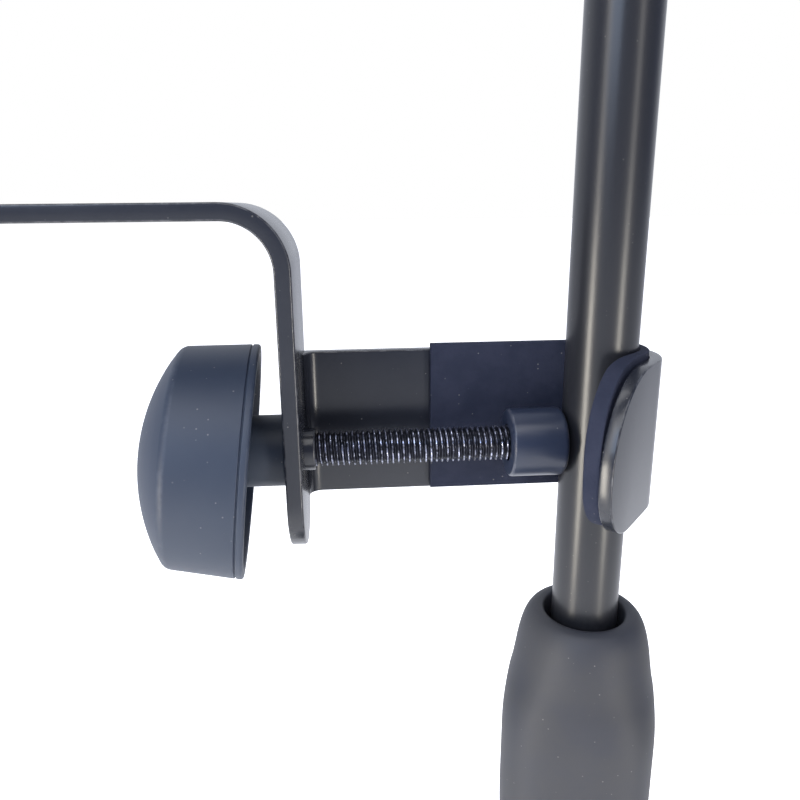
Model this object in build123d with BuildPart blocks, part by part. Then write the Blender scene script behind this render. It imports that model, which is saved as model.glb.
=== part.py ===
from build123d import *
import math
import os

os.makedirs("parts", exist_ok=True)

# Music stand, millimetres. The tube axis is Z and the floor is z = 0.
# The clamp's screw lies along X at screw_z, with its knob on the -X side.

running = 0.05  # radial clearance of a sliding or turning fit
snug = 0.02  # radial clearance between pieces fixed to each other
easy = 0.1  # radial clearance of a wide piece in its seat
gap = 0.3  # air between pieces that move apart

# tubes
tube_r = 8.0
tube_wall = 1.2
tube_low = 415.0
tube_top = 1105.0
lower_r = 11.0
lower_bore_r = 9.5
lower_top = 640.0

# base
base_r = 140.0
base_thick = 14.0
base_low = 5.0
boss_r = 30.0
boss_high = 12.0
recess_r = 22.0
recess_high = 9.5
foot_r = 12.0
foot_ring_r = 120.0
foot_count = 4
foot_sink = 2.0
stud_r = 8.0
stud_flange_r = 13.0
stud_flange_thick = 3.0
plug_high = 30.0

# clutch
clutch_top = 690.6
clutch_low = 615.0
grip_mouth_r = 9.8
body_r = 15.0
body_low = 600.0
body_top = 668.0
body_skirt_r = 17.0
body_skirt_high = 12.0
pocket_low = 643.0
pocket_r = 12.0
collet_low = 645.0
collet_top = 681.0
collet_tip_r = 9.9
core_r = 17.0
core_neck_r = 13.6
core_neck_low = 672.0
core_top = 684.0

# clamp bar
screw_z = 735.0
bar_wide = 28.0
bar_thick = 3.5
bar_bend_r = 13.5
plate_right = -67.7
arm_top = screw_z + 54.3
arm_end = -170.0
plate_low = screw_z - 22.0
arm_hole_r = 3.2
arm_hole_x = -160.0

# clamp hook and its lining
hook_thick = 2.8
lining_thick = 2.2
hook_low = screw_z - 14.6
hook_high = screw_z + 20.4
lining_low = hook_low + 0.6
lining_high = screw_z + 22.0
lining_start = -38.0
weld_r = 3.4
lip_turn = 130.0
lip_long = 25.5
lip_top_r = 20.0
lip_foot_r = 13.0

# screw
rod_r = 3.98
rod_hole_r = 4.05
rod_left = -96.0
rod_right = -12.0
bush_r = 4.8
bush_right = -65.2
cap_r = 7.9
cap_left = -21.0
cap_bore_r = 4.05
ring_r = 6.0
ring_thick = 1.0
groove_r = 6.4

# knob
hub_r = 8.1
rim_x = -80.8
rim_r = 26.5
wall_high = 15.8
wall_draft = 1.7
dome_high = 8.6
shell = 2.3
edge_round = 3.0
groove_deep = 0.35
groove_wide = 0.5
groove_in = 1.5
insert_r = 5.6
insert_left = -97.0
hub_left = -98.5
lean_x = -85.0
lean_up = 7.0
lean_side = 4.0
lean_out = 1.2
lean_drop = 1.8

# desk and its tilting head
pivot_z = 1140.0
desk_lean = 20.0
desk_wide = 480.0
desk_tall = 330.0
desk_mid = 60.0
desk_sheet = 1.2
desk_back = 22.0
desk_edge = 9.0
desk_corner_r = 18.0
shelf_deep = 44.0
shelf_lip = 9.0
shelf_flange = 20.0
shelf_wide = 440.0
web_wide = 60.0
web_tall = 76.0
web_thick = 3.0
ear_in = 6.0
ear_thick = 3.0
ear_r = 12.0
tongue_half = 5.0
tongue_r = 10.0
collar_r = 11.0
collar_high = 15.0
disc_gap = 0.1
bolt_r = 3.0
pivot_hole_r = 3.06
tilt_knob_r = 17.0
tilt_knob_thick = 15.0
rivet_r = 2.0
rivet_head_r = 3.8
rivet_head_high = 1.4


def level(z):
    """Flat sketch plane at height z."""
    return Plane.XY.offset(z)


def across(x):
    """Sketch plane facing +X at x: its own X is the row's Y, its own Y is the row's Z."""
    return Plane.YZ.offset(x)


lean = math.radians(desk_lean)
desk_frame = Plane(
    origin=(0, 0, pivot_z),
    x_dir=(1, 0, 0),
    z_dir=(0, -math.cos(lean), math.sin(lean)),
)


def finish(builder, name):
    """Name a finished piece and write it out."""
    builder.part.label = name
    export_step(builder.part, "parts/" + name + ".step")


# ---------------------------------------------------------------- base
base_top = base_low + base_thick
boss_top = base_top + boss_high
recess_top = base_low + recess_high

with BuildPart() as base_plate:
    with BuildSketch(level(base_low)):
        Circle(base_r)
    extrude(amount=base_thick)
    fillet(base_plate.edges().group_by(Axis.Z)[-1], radius=5)
    chamfer(base_plate.edges().group_by(Axis.Z)[0], length=1)
    with BuildSketch(level(base_top)):
        Circle(boss_r)
    extrude(amount=boss_high, taper=25)
    with BuildSketch(level(base_low)):
        Circle(recess_r)
    extrude(amount=recess_high, mode=Mode.SUBTRACT)
    with BuildSketch(level(recess_top)):
        Circle(stud_r + easy)
    extrude(amount=boss_top - recess_top, mode=Mode.SUBTRACT)
    with BuildSketch(level(base_low)):
        with PolarLocations(foot_ring_r, foot_count, start_angle=45):
            Circle(foot_r + easy)
    extrude(amount=foot_sink, mode=Mode.SUBTRACT)
finish(base_plate, "base_plate")

with BuildPart() as base_feet:
    with BuildSketch(level(0)):
        with PolarLocations(foot_ring_r, foot_count, start_angle=45):
            Circle(foot_r)
    extrude(amount=base_low + foot_sink)
    fillet(base_feet.edges().group_by(Axis.Z)[0], radius=1)
finish(base_feet, "base_feet")

washer_thick = 1.5
nut_high = 7.0
with BuildPart() as base_washer:
    with BuildSketch(level(recess_top - washer_thick)):
        Circle(15)
        Circle(stud_r + 0.2, mode=Mode.SUBTRACT)
    extrude(amount=washer_thick)
finish(base_washer, "base_washer")

nut_low = recess_top - washer_thick - nut_high
with BuildPart() as base_nut:
    with BuildSketch(level(nut_low)):
        RegularPolygon(12, 6, major_radius=False)
        Circle(stud_r + snug, mode=Mode.SUBTRACT)
    extrude(amount=nut_high)
finish(base_nut, "base_nut")

stud_flange_top = boss_top + stud_flange_thick
with BuildPart() as tube_stud:
    with BuildSketch(level(nut_low)):
        Circle(stud_r)
    extrude(amount=boss_top - nut_low)
    with BuildSketch(level(boss_top)):
        Circle(stud_flange_r)
    extrude(amount=stud_flange_thick)
    chamfer(tube_stud.edges().group_by(Axis.Z)[-1], length=0.8)
    with BuildSketch(level(stud_flange_top)):
        Circle(lower_bore_r - easy)
    extrude(amount=plug_high)
    chamfer(tube_stud.edges().group_by(Axis.Z)[-1], length=1)
finish(tube_stud, "tube_stud")

# ---------------------------------------------------------------- tubes
with BuildPart() as lower_tube:
    with BuildSketch(level(stud_flange_top)):
        Circle(lower_r)
        Circle(lower_bore_r, mode=Mode.SUBTRACT)
    extrude(amount=lower_top - stud_flange_top)
finish(lower_tube, "lower_tube")

pin_r = 1.5
bush_pin_z = tube_low + 18
head_pin_z = tube_top - 12
with BuildPart() as upper_tube:
    with BuildSketch(level(tube_low)):
        Circle(tube_r)
        Circle(tube_r - tube_wall, mode=Mode.SUBTRACT)
    extrude(amount=tube_top - tube_low)
    with BuildSketch(across(0)):
        with Locations((0, bush_pin_z)):
            Circle(pin_r + snug)
    extrude(amount=tube_r + 1, both=True, mode=Mode.SUBTRACT)
    with BuildSketch(Plane.XZ):
        with Locations((0, head_pin_z)):
            Circle(pin_r + snug)
    extrude(amount=tube_r + 1, both=True, mode=Mode.SUBTRACT)
finish(upper_tube, "upper_tube")

guide_r = lower_bore_r - 0.08
with BuildPart() as guide_bush:
    with BuildSketch(level(tube_low)):
        Circle(guide_r)
        Circle(tube_r + snug, mode=Mode.SUBTRACT)
    extrude(amount=30)
    with BuildSketch(level(tube_low - 3)):
        Circle(guide_r)
        Circle(5, mode=Mode.SUBTRACT)
    extrude(amount=3)
    chamfer(guide_bush.edges().group_by(Axis.Z)[0], length=0.8)
    with BuildSketch(across(0)):
        with Locations((0, bush_pin_z)):
            Circle(pin_r + snug)
    extrude(amount=guide_r + 1, both=True, mode=Mode.SUBTRACT)
finish(guide_bush, "guide_bush")

with BuildPart() as bush_pin:
    with BuildSketch(across(0)):
        with Locations((0, bush_pin_z)):
            Circle(pin_r)
    extrude(amount=guide_r - 0.4, both=True)
finish(bush_pin, "bush_pin")

# ---------------------------------------------------------------- clutch
with BuildPart() as clutch_body:
    with BuildSketch(level(body_low)):
        Circle(body_r)
    extrude(amount=body_top - body_low)
    with BuildSketch(level(body_low)):
        Circle(body_skirt_r)
    extrude(amount=body_skirt_high)
    chamfer(clutch_body.edges().group_by(Axis.Z)[0], length=1.2)
    with BuildSketch(level(body_low)):
        Circle(lower_r + snug)
    extrude(amount=lower_top - body_low, mode=Mode.SUBTRACT)
    with BuildSketch(level(lower_top)):
        Circle(tube_r + 0.5)
    extrude(amount=pocket_low - lower_top, mode=Mode.SUBTRACT)
    with BuildSketch(level(pocket_low)):
        Circle(pocket_r)
    extrude(amount=body_top - pocket_low, mode=Mode.SUBTRACT)
finish(clutch_body, "clutch_body")

collet_r = pocket_r - running
collet_slit = 1.6
with BuildPart() as clutch_collet:
    with BuildSketch(Plane.XZ):
        with BuildLine():
            Polyline(
                (tube_r + running, collet_low),
                (collet_r, collet_low),
                (collet_r, body_top + 1),
                (collet_tip_r, collet_top),
                (tube_r + running, collet_top),
                close=True,
            )
        make_face()
    revolve(axis=Axis.Z)
    with BuildSketch(level(collet_low)):
        with Locations((collet_r / 2 + 2, 0)):
            Rectangle(collet_r + 4, collet_slit)
    extrude(amount=collet_top - collet_low, mode=Mode.SUBTRACT)
finish(clutch_collet, "clutch_collet")

core_bore_r = body_r + running
with BuildPart() as clutch_core:
    with BuildSketch(Plane.XZ):
        with BuildLine():
            Polyline(
                (core_bore_r, clutch_low + 1),
                (core_r, clutch_low + 1),
                (core_r, core_neck_low - 4),
                (core_neck_r, core_neck_low + 2),
                (core_neck_r, core_top),
                (collet_tip_r + gap, core_top),
                (collet_tip_r + gap, collet_top),
                (collet_r + gap, body_top + 1 + gap),
                (core_bore_r, body_top + 1 + gap),
                close=True,
            )
        make_face()
    revolve(axis=Axis.Z)
finish(clutch_core, "clutch_core")

with BuildPart() as clutch_grip:
    with BuildSketch(Plane.XZ):
        with BuildLine():
            Polyline(
                (grip_mouth_r, core_top),
                (core_neck_r + snug, core_top),
                (core_neck_r + snug, core_neck_low + 2),
                (core_r + snug, core_neck_low - 4),
                (core_r + snug, clutch_low),
                (18.2, clutch_low),
            )
            Spline(
                (18.2, clutch_low),
                (19.6, clutch_low + 8),
                (20.6, clutch_low + 22),
                (20.3, clutch_low + 36),
                (18.7, clutch_low + 54),
                (16.6, clutch_low + 65),
                (14.6, clutch_low + 71),
                (12.6, clutch_low + 74.2),
                (11.2, clutch_low + 75.4),
                (10.3, clutch_low + 75.4),
                (grip_mouth_r, clutch_low + 74.4),
            )
            Line((grip_mouth_r, clutch_low + 74.4), (grip_mouth_r, core_top))
        make_face()
    revolve(axis=Axis.Z)
finish(clutch_grip, "clutch_grip")

# ---------------------------------------------------------------- clamp bar
plate_left = plate_right - bar_thick
bend_in_r = bar_bend_r - bar_thick
bend_x = plate_right - bar_bend_r
bend_z = arm_top - bar_bend_r
slant = math.sqrt(0.5)

with BuildPart() as clamp_bar:
    with BuildSketch(Plane.XZ):
        with BuildLine():
            Polyline((arm_end, arm_top - bar_thick), (arm_end, arm_top), (bend_x, arm_top))
            ThreePointArc(
                (bend_x, arm_top),
                (bend_x + bar_bend_r * slant, bend_z + bar_bend_r * slant),
                (plate_right, bend_z),
            )
            Polyline(
                (plate_right, bend_z),
                (plate_right, plate_low),
                (plate_left, plate_low),
                (plate_left, bend_z),
            )
            ThreePointArc(
                (plate_left, bend_z),
                (bend_x + bend_in_r * slant, bend_z + bend_in_r * slant),
                (bend_x, arm_top - bar_thick),
            )
            Line((bend_x, arm_top - bar_thick), (arm_end, arm_top - bar_thick))
        make_face()
    extrude(amount=bar_wide / 2, both=True)
    arm_corners = clamp_bar.edges().filter_by(Axis.Z).group_by(Axis.X)[0]
    fillet(arm_corners, radius=bar_wide / 2 - 0.2)
    plate_corners = clamp_bar.edges().filter_by(Axis.X).group_by(Axis.Z)[0]
    fillet(plate_corners, radius=bar_wide / 2 - 0.2)
    with BuildSketch(level(arm_top)):
        with Locations((arm_hole_x, 0)):
            Circle(arm_hole_r)
    extrude(amount=-bar_thick, mode=Mode.SUBTRACT)
    with BuildSketch(across(plate_left)):
        with Locations((0, screw_z)):
            Circle(bush_r + snug)
    extrude(amount=bar_thick, mode=Mode.SUBTRACT)
finish(clamp_bar, "clamp_bar")

# ---------------------------------------------------------------- clamp hook
lining_in_r = tube_r + running
hook_in_r = lining_in_r + lining_thick + snug
hook_out_r = hook_in_r + hook_thick


def bend_point(radius, turned):
    """Point on the hook's turn round the tube, turned in degrees from its start at the back."""
    angle = math.radians(90 - turned)
    return (radius * math.cos(angle), radius * math.sin(angle))


def lip_point(radius, along):
    """Point on the straight lip, along its length from the end of the turn."""
    start = bend_point(radius, lip_turn)
    angle = math.radians(-lip_turn)
    return (start[0] + along * math.cos(angle), start[1] + along * math.sin(angle))


with BuildPart() as clamp_hook:
    with BuildSketch(level(hook_low)):
        with BuildLine():
            Line((plate_right, hook_out_r), (plate_right, hook_in_r - weld_r))
            ThreePointArc(
                (plate_right, hook_in_r - weld_r),
                (plate_right + weld_r * (1 - slant), hook_in_r - weld_r * (1 - slant)),
                (plate_right + weld_r, hook_in_r),
            )
            Line((plate_right + weld_r, hook_in_r), (0, hook_in_r))
            ThreePointArc(
                (0, hook_in_r),
                bend_point(hook_in_r, lip_turn / 2),
                bend_point(hook_in_r, lip_turn),
            )
            Polyline(
                bend_point(hook_in_r, lip_turn),
                lip_point(hook_in_r, lip_long),
                lip_point(hook_out_r, lip_long),
                bend_point(hook_out_r, lip_turn),
            )
            ThreePointArc(
                bend_point(hook_out_r, lip_turn),
                bend_point(hook_out_r, lip_turn / 2),
                (0, hook_out_r),
            )
            Line((0, hook_out_r), (plate_right, hook_out_r))
        make_face()
    extrude(amount=hook_high - hook_low)
    lip_end = clamp_hook.faces().sort_by_distance(
        lip_point(hook_in_r + hook_thick / 2, lip_long) + ((hook_low + hook_high) / 2,)
    )[0]
    lip_edges = lip_end.edges().sort_by(Axis.Z)
    lip_top_edge = lip_edges[-1]
    fillet(lip_edges[0], radius=lip_foot_r)
    fillet(lip_top_edge, radius=lip_top_r)
finish(clamp_hook, "clamp_hook")

with BuildPart() as hook_lining:
    lining_out_r = lining_in_r + lining_thick
    with BuildSketch(level(lining_low)):
        with BuildLine():
            Line((lining_start, lining_in_r), (0, lining_in_r))
            ThreePointArc(
                (0, lining_in_r),
                bend_point(lining_in_r, lip_turn / 2),
                bend_point(lining_in_r, lip_turn),
            )
            Polyline(
                bend_point(lining_in_r, lip_turn),
                lip_point(lining_in_r, lip_long - 0.5),
                lip_point(lining_out_r, lip_long - 0.5),
                bend_point(lining_out_r, lip_turn),
            )
            ThreePointArc(
                bend_point(lining_out_r, lip_turn),
                bend_point(lining_out_r, lip_turn / 2),
                (0, lining_out_r),
            )
            Polyline((0, lining_out_r), (lining_start, lining_out_r), (lining_start, lining_in_r))
        make_face()
    extrude(amount=lining_high - lining_low)
    lining_end = hook_lining.faces().sort_by_distance(
        lip_point(lining_in_r + lining_thick / 2, lip_long - 0.5) + ((lining_low + lining_high) / 2,)
    )[0]
    lining_edges = lining_end.edges().sort_by(Axis.Z)
    lining_top_edge = lining_edges[-1]
    fillet(lining_edges[0], radius=lip_foot_r)
    fillet(lining_top_edge, radius=lip_top_r)
finish(hook_lining, "hook_lining")

with BuildPart() as screw_bush:
    with BuildSketch(across(plate_left)):
        with Locations((0, screw_z)):
            Circle(bush_r)
            Circle(rod_hole_r, mode=Mode.SUBTRACT)
    extrude(amount=bush_right - plate_left)
finish(screw_bush, "screw_bush")

# ---------------------------------------------------------------- thumb screw
cap_right = -tube_r - gap
ring_x = -15.0
with BuildPart() as screw_rod:
    with BuildSketch(across(rod_left)):
        with Locations((0, screw_z)):
            Circle(rod_r)
    extrude(amount=rod_right - rod_left)
    chamfer(screw_rod.edges().group_by(Axis.X)[-1], length=0.6)
    with BuildSketch(across(ring_x)):
        with Locations((0, screw_z)):
            Circle(rod_r + 1)
            Circle(3.2, mode=Mode.SUBTRACT)
    extrude(amount=ring_thick + 0.2, mode=Mode.SUBTRACT)
finish(screw_rod, "screw_rod")

with BuildPart() as cap_ring:
    with BuildSketch(across(ring_x + 0.1)):
        with Locations((0, screw_z)):
            Circle(ring_r)
            Circle(3.2 + snug, mode=Mode.SUBTRACT)
    extrude(amount=ring_thick)
finish(cap_ring, "cap_ring")

with BuildPart() as pressure_cap:
    with BuildSketch(across(cap_left)):
        with Locations((0, screw_z)):
            Circle(cap_r)
    extrude(amount=cap_right - cap_left)
    fillet(pressure_cap.edges().group_by(Axis.X)[0], radius=0.8)
    fillet(pressure_cap.edges().group_by(Axis.X)[-1], radius=1.2)
    with BuildSketch(across(cap_left)):
        with Locations((0, screw_z)):
            Circle(cap_bore_r)
    extrude(amount=rod_right + gap - cap_left, mode=Mode.SUBTRACT)
    with BuildSketch(across(ring_x - gap)):
        with Locations((0, screw_z)):
            Circle(groove_r)
    extrude(amount=ring_thick + 2 * gap + 0.1, mode=Mode.SUBTRACT)
finish(pressure_cap, "pressure_cap")

hub_right = plate_left - gap
wall_x = rim_x - wall_high
dome_x = wall_x - dome_high
top_r = rim_r - wall_draft
with BuildPart() as knob_shell:
    with BuildSketch(Plane.XZ):
        with BuildLine():
            Polyline(
                (wall_x + shell, 0),
                (wall_x + shell, top_r - shell),
                (rim_x, rim_r - shell),
                (rim_x, rim_r),
                (rim_x - groove_in, rim_r - 0.15),
                (rim_x - groove_in - groove_wide / 2, rim_r - 0.15 - groove_deep),
                (rim_x - groove_in - groove_wide, rim_r - 0.2),
                (wall_x, top_r),
            )
            ThreePointArc((wall_x, top_r), (wall_x - dome_high * 0.74, top_r * 0.5), (dome_x, 0))
            Line((dome_x, 0), (wall_x + shell, 0))
        make_face()
    revolve(axis=Axis.X)
    corner = knob_shell.edges().filter_by(GeomType.CIRCLE).sort_by_distance((wall_x, top_r, 0))[0]
    fillet(corner, radius=edge_round)
lean = Pos(lean_x + lean_out, 0, screw_z - lean_drop) * Rot(0, lean_up, lean_side) * Pos(-lean_x, 0, 0)
with BuildPart() as screw_knob:
    add(lean * knob_shell.part)
    with BuildSketch(across(hub_left)):
        with Locations((0, screw_z)):
            Circle(hub_r)
    extrude(amount=hub_right - hub_left)
    with BuildSketch(across(insert_left)):
        with Locations((0, screw_z)):
            Circle(insert_r)
    extrude(amount=hub_right - insert_left, mode=Mode.SUBTRACT)
finish(screw_knob, "screw_knob")

with BuildPart() as knob_insert:
    with BuildSketch(across(insert_left)):
        with Locations((0, screw_z)):
            Circle(insert_r - snug)
    extrude(amount=hub_right - insert_left)
    with BuildSketch(across(rod_left)):
        with Locations((0, screw_z)):
            Circle(rod_r + snug)
    extrude(amount=hub_right - rod_left, mode=Mode.SUBTRACT)
finish(knob_insert, "knob_insert")

# ---------------------------------------------------------------- tilting head
collar_top = tube_top + collar_high
with BuildPart() as tilt_head:
    with BuildSketch(level(tube_top - 26)):
        Circle(tube_r - tube_wall - snug)
    extrude(amount=26)
    with BuildSketch(level(tube_top)):
        Circle(collar_r)
    extrude(amount=collar_high)
    fillet(tilt_head.edges().group_by(Axis.Z)[-1], radius=1.5)
    with BuildSketch(across(-tongue_half)):
        with Locations((0, pivot_z)):
            Circle(tongue_r)
        with Locations((0, (collar_top + pivot_z) / 2 - 1)):
            Rectangle(2 * tongue_r, pivot_z - collar_top + 2)
    extrude(amount=2 * tongue_half)
    with BuildSketch(across(-tongue_half)):
        with Locations((0, pivot_z)):
            Circle(pivot_hole_r)
    extrude(amount=2 * tongue_half, mode=Mode.SUBTRACT)
    with BuildSketch(Plane.XZ):
        with Locations((0, head_pin_z)):
            Circle(pin_r + snug)
    extrude(amount=tube_r, both=True, mode=Mode.SUBTRACT)
finish(tilt_head, "tilt_head")

with BuildPart() as head_pin:
    with BuildSketch(Plane.XZ):
        with Locations((0, head_pin_z)):
            Circle(pin_r)
    extrude(amount=tube_r - 0.2, both=True)
finish(head_pin, "head_pin")

with BuildPart() as tilt_discs:
    for side in (-1, 1):
        with BuildSketch(across(side * (tongue_half + disc_gap))):
            with Locations((0, pivot_z)):
                Circle(ear_r - 1)
                Circle(bolt_r + snug, mode=Mode.SUBTRACT)
        extrude(amount=side * (ear_in - tongue_half - disc_gap))
finish(tilt_discs, "tilt_discs")

ear_out = ear_in + ear_thick
head_thick = 4.0
bolt_end = ear_out + 24
with BuildPart() as tilt_bolt:
    with BuildSketch(across(-ear_out)):
        with Locations((0, pivot_z)):
            Circle(bolt_r)
    extrude(amount=bolt_end + ear_out)
    with BuildSketch(across(-ear_out)):
        with Locations((0, pivot_z)):
            RegularPolygon(5, 6, major_radius=False)
    extrude(amount=-head_thick)
finish(tilt_bolt, "tilt_bolt")

tilt_washer_thick = 1.2
with BuildPart() as tilt_washer:
    with BuildSketch(across(ear_out)):
        with Locations((0, pivot_z)):
            Circle(8)
            Circle(bolt_r + snug, mode=Mode.SUBTRACT)
    extrude(amount=tilt_washer_thick)
finish(tilt_washer, "tilt_washer")

tilt_knob_x = ear_out + tilt_washer_thick + gap
tilt_insert_r = 5.0
lobe_count = 6
with BuildPart() as tilt_knob:
    with BuildSketch(across(tilt_knob_x)):
        with Locations((0, pivot_z)):
            Circle(tilt_knob_r)
            with PolarLocations(tilt_knob_r + 3.5, lobe_count):
                Circle(6, mode=Mode.SUBTRACT)
    extrude(amount=tilt_knob_thick)
    fillet(tilt_knob.edges().group_by(Axis.X)[-1], radius=1)
    with BuildSketch(across(tilt_knob_x)):
        with Locations((0, pivot_z)):
            Circle(tilt_insert_r + snug)
    extrude(amount=tilt_knob_thick, mode=Mode.SUBTRACT)
finish(tilt_knob, "tilt_knob")

with BuildPart() as tilt_knob_insert:
    with BuildSketch(across(tilt_knob_x)):
        with Locations((0, pivot_z)):
            Circle(tilt_insert_r)
            Circle(pivot_hole_r, mode=Mode.SUBTRACT)
    extrude(amount=tilt_knob_thick)
finish(tilt_knob_insert, "tilt_knob_insert")

# ---------------------------------------------------------------- desk
desk_low = desk_mid - desk_tall / 2
front = desk_back + desk_sheet
web_spots = [(x, y) for x in (-22, 22) for y in (-26, 26)]
shelf_spots = [(x, desk_low + shelf_flange / 2) for x in (-200, -100, 0, 100, 200)]

with BuildPart() as desk_plate:
    with BuildSketch(desk_frame.offset(front)):
        with Locations((0, desk_mid)):
            RectangleRounded(desk_wide, desk_tall, desk_corner_r)
    extrude(amount=-desk_edge)
    with BuildSketch(desk_frame.offset(desk_back)):
        with Locations((0, desk_mid)):
            RectangleRounded(
                desk_wide - 2 * desk_sheet,
                desk_tall - 2 * desk_sheet,
                desk_corner_r - desk_sheet,
            )
    extrude(amount=-desk_edge, mode=Mode.SUBTRACT)
    with BuildSketch(desk_frame.offset(front)):
        with Locations(*web_spots):
            Circle(rivet_r + snug)
        with Locations(*shelf_spots):
            Circle(rivet_r + snug)
    extrude(amount=-desk_sheet, mode=Mode.SUBTRACT)
finish(desk_plate, "desk_plate")

shelf_back = front
shelf_front = shelf_back + shelf_deep
with BuildPart() as desk_shelf:
    with BuildSketch(desk_frame.offset(shelf_back)):
        with Locations((0, desk_low + shelf_flange / 2)):
            Rectangle(shelf_wide, shelf_flange)
        with Locations(*shelf_spots):
            Circle(rivet_r + snug, mode=Mode.SUBTRACT)
    extrude(amount=desk_sheet)
    with BuildSketch(desk_frame.offset(shelf_back)):
        with Locations((0, desk_low + desk_sheet / 2)):
            Rectangle(shelf_wide, desk_sheet)
    extrude(amount=shelf_deep)
    with BuildSketch(desk_frame.offset(shelf_front - desk_sheet)):
        with Locations((0, desk_low + shelf_lip / 2)):
            Rectangle(shelf_wide, shelf_lip)
    extrude(amount=desk_sheet)
finish(desk_shelf, "desk_shelf")

web_back = desk_back - web_thick
with BuildPart() as desk_bracket:
    with BuildSketch(desk_frame.offset(desk_back)):
        RectangleRounded(web_wide, web_tall, 8)
        with Locations(*web_spots):
            Circle(rivet_r + snug, mode=Mode.SUBTRACT)
    extrude(amount=-web_thick)
    for side in (-1, 1):
        with BuildSketch(desk_frame.offset(0)):
            with Locations((side * (ear_in + ear_thick / 2), 0)):
                Rectangle(ear_thick, 2 * ear_r)
        extrude(amount=web_back)
        with BuildSketch(across(side * ear_in)):
            with Locations((0, pivot_z)):
                Circle(ear_r)
        extrude(amount=side * ear_thick)
        with BuildSketch(across(side * ear_in)):
            with Locations((0, pivot_z)):
                Circle(bolt_r + snug)
        extrude(amount=side * ear_thick, mode=Mode.SUBTRACT)
finish(desk_bracket, "desk_bracket")


def rivet_row(spots, back, face, name):
    """Round-headed rivets at the spots, through the sheets between back and face."""
    with BuildPart() as rivets:
        with BuildSketch(desk_frame.offset(back - rivet_head_high)):
            with Locations(*spots):
                Circle(rivet_r)
        extrude(amount=face - back + 2 * rivet_head_high)
        with BuildSketch(desk_frame.offset(face)):
            with Locations(*spots):
                Circle(rivet_head_r)
        extrude(amount=rivet_head_high, taper=30)
        with BuildSketch(desk_frame.offset(back)):
            with Locations(*spots):
                Circle(rivet_head_r - 0.6)
        extrude(amount=-rivet_head_high)
    finish(rivets, name)


rivet_row(web_spots, web_back, front, "desk_rivets")
rivet_row(shelf_spots, desk_back, front + desk_sheet, "shelf_rivets")
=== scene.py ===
import math

import bmesh
import bpy
from mathutils import Euler, Matrix, Vector


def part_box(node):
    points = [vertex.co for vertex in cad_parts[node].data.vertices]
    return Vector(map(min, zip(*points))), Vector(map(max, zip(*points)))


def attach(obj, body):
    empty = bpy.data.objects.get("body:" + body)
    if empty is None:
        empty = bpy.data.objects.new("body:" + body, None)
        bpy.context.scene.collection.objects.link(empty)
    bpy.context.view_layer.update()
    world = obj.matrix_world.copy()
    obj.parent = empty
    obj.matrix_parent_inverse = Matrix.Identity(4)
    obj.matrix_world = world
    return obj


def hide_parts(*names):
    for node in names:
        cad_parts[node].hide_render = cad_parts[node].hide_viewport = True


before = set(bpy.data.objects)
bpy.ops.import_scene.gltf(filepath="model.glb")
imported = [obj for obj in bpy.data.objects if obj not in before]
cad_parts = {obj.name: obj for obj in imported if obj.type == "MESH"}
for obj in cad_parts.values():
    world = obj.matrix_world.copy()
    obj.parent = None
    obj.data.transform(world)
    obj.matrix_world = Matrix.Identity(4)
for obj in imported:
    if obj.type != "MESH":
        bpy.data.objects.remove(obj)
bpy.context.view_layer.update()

MM = 0.001

# ------------------------------------------------------------------ places read from the frame
tube_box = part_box("upper_tube")
cap_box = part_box("pressure_cap")
bar_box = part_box("clamp_bar")
hook_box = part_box("clamp_hook")
lining_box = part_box("hook_lining")
knob_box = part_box("screw_knob")
rod_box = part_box("screw_rod")
bush_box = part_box("screw_bush")
grip_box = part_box("clutch_grip")

tube_r = tube_box[1].x
screw_z = (cap_box[0].z + cap_box[1].z) / 2

# sizes that the boxes can't give, as the metal is bent and turned
BAR_THICK = 3.5 * MM
BAR_BEND_IN = 10.0 * MM
ARM_HOLE_IN = 10.0 * MM
ARM_HOLE_R = 3.2 * MM
PLATE_HOLE_R = 4.82 * MM
DRILL_DEPTH = 20.0 * MM
HOOK_THICK = 2.8 * MM
WELD_R = 3.4 * MM
LINING_THICK = 2.2 * MM
TURN_FIT = 0.05 * MM
LIP_TURN = 130.0
LIP_LONG = 25.5 * MM
LIP_TOP_R = 20.0 * MM
LIP_FOOT_R = 13.0 * MM
UPPER_WALL = 1.2 * MM
LOWER_WALL = 1.5 * MM
THREAD_PITCH = 1.25 * MM
THREAD_DEPTH = 0.72 * MM
THREAD_AROUND = 56
THREAD_ROWS_A_TURN = 11

# an edge that turns by more degrees than this is drawn crisp
SMOOTH_ANGLE = 38.0
STRIP_ANGLE = 30.0
MOULDED_ANGLE = 32.0
THREAD_ANGLE = 24.0
GRIP_ANGLE = 50.0
# a radius under this counts as a pole on the axis
POLE_R = 1e-7


# ------------------------------------------------------------------ shared helpers
def collect(piece):
    """Puts a new object in the scene."""
    bpy.context.scene.collection.objects.link(piece)
    return piece


def settle_normals(mesh, sharp_angle):
    """Faces outwards, smooth where the surface is smooth, crisp at real edges."""
    work = bmesh.new()
    work.from_mesh(mesh)
    bmesh.ops.recalc_face_normals(work, faces=work.faces)
    work.to_mesh(mesh)
    work.free()
    mesh.polygons.foreach_set("use_smooth", [True] * len(mesh.polygons))
    mesh.set_sharp_from_angle(angle=math.radians(sharp_angle))
    mesh.update()


def mesh_piece(name, points, faces, material, sharp_angle, rims):
    """A new mesh object; rims mark each point from 0 to 1 as part of an edge that gets rubbed."""
    mesh = bpy.data.meshes.new(name)
    mesh.from_pydata([tuple(p) for p in points], [], faces)
    layer = mesh.attributes.new("rim", "FLOAT", "POINT")
    layer.data.foreach_set("value", rims)
    settle_normals(mesh, sharp_angle)
    mesh.materials.append(material)
    return collect(bpy.data.objects.new(name, mesh))


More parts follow.
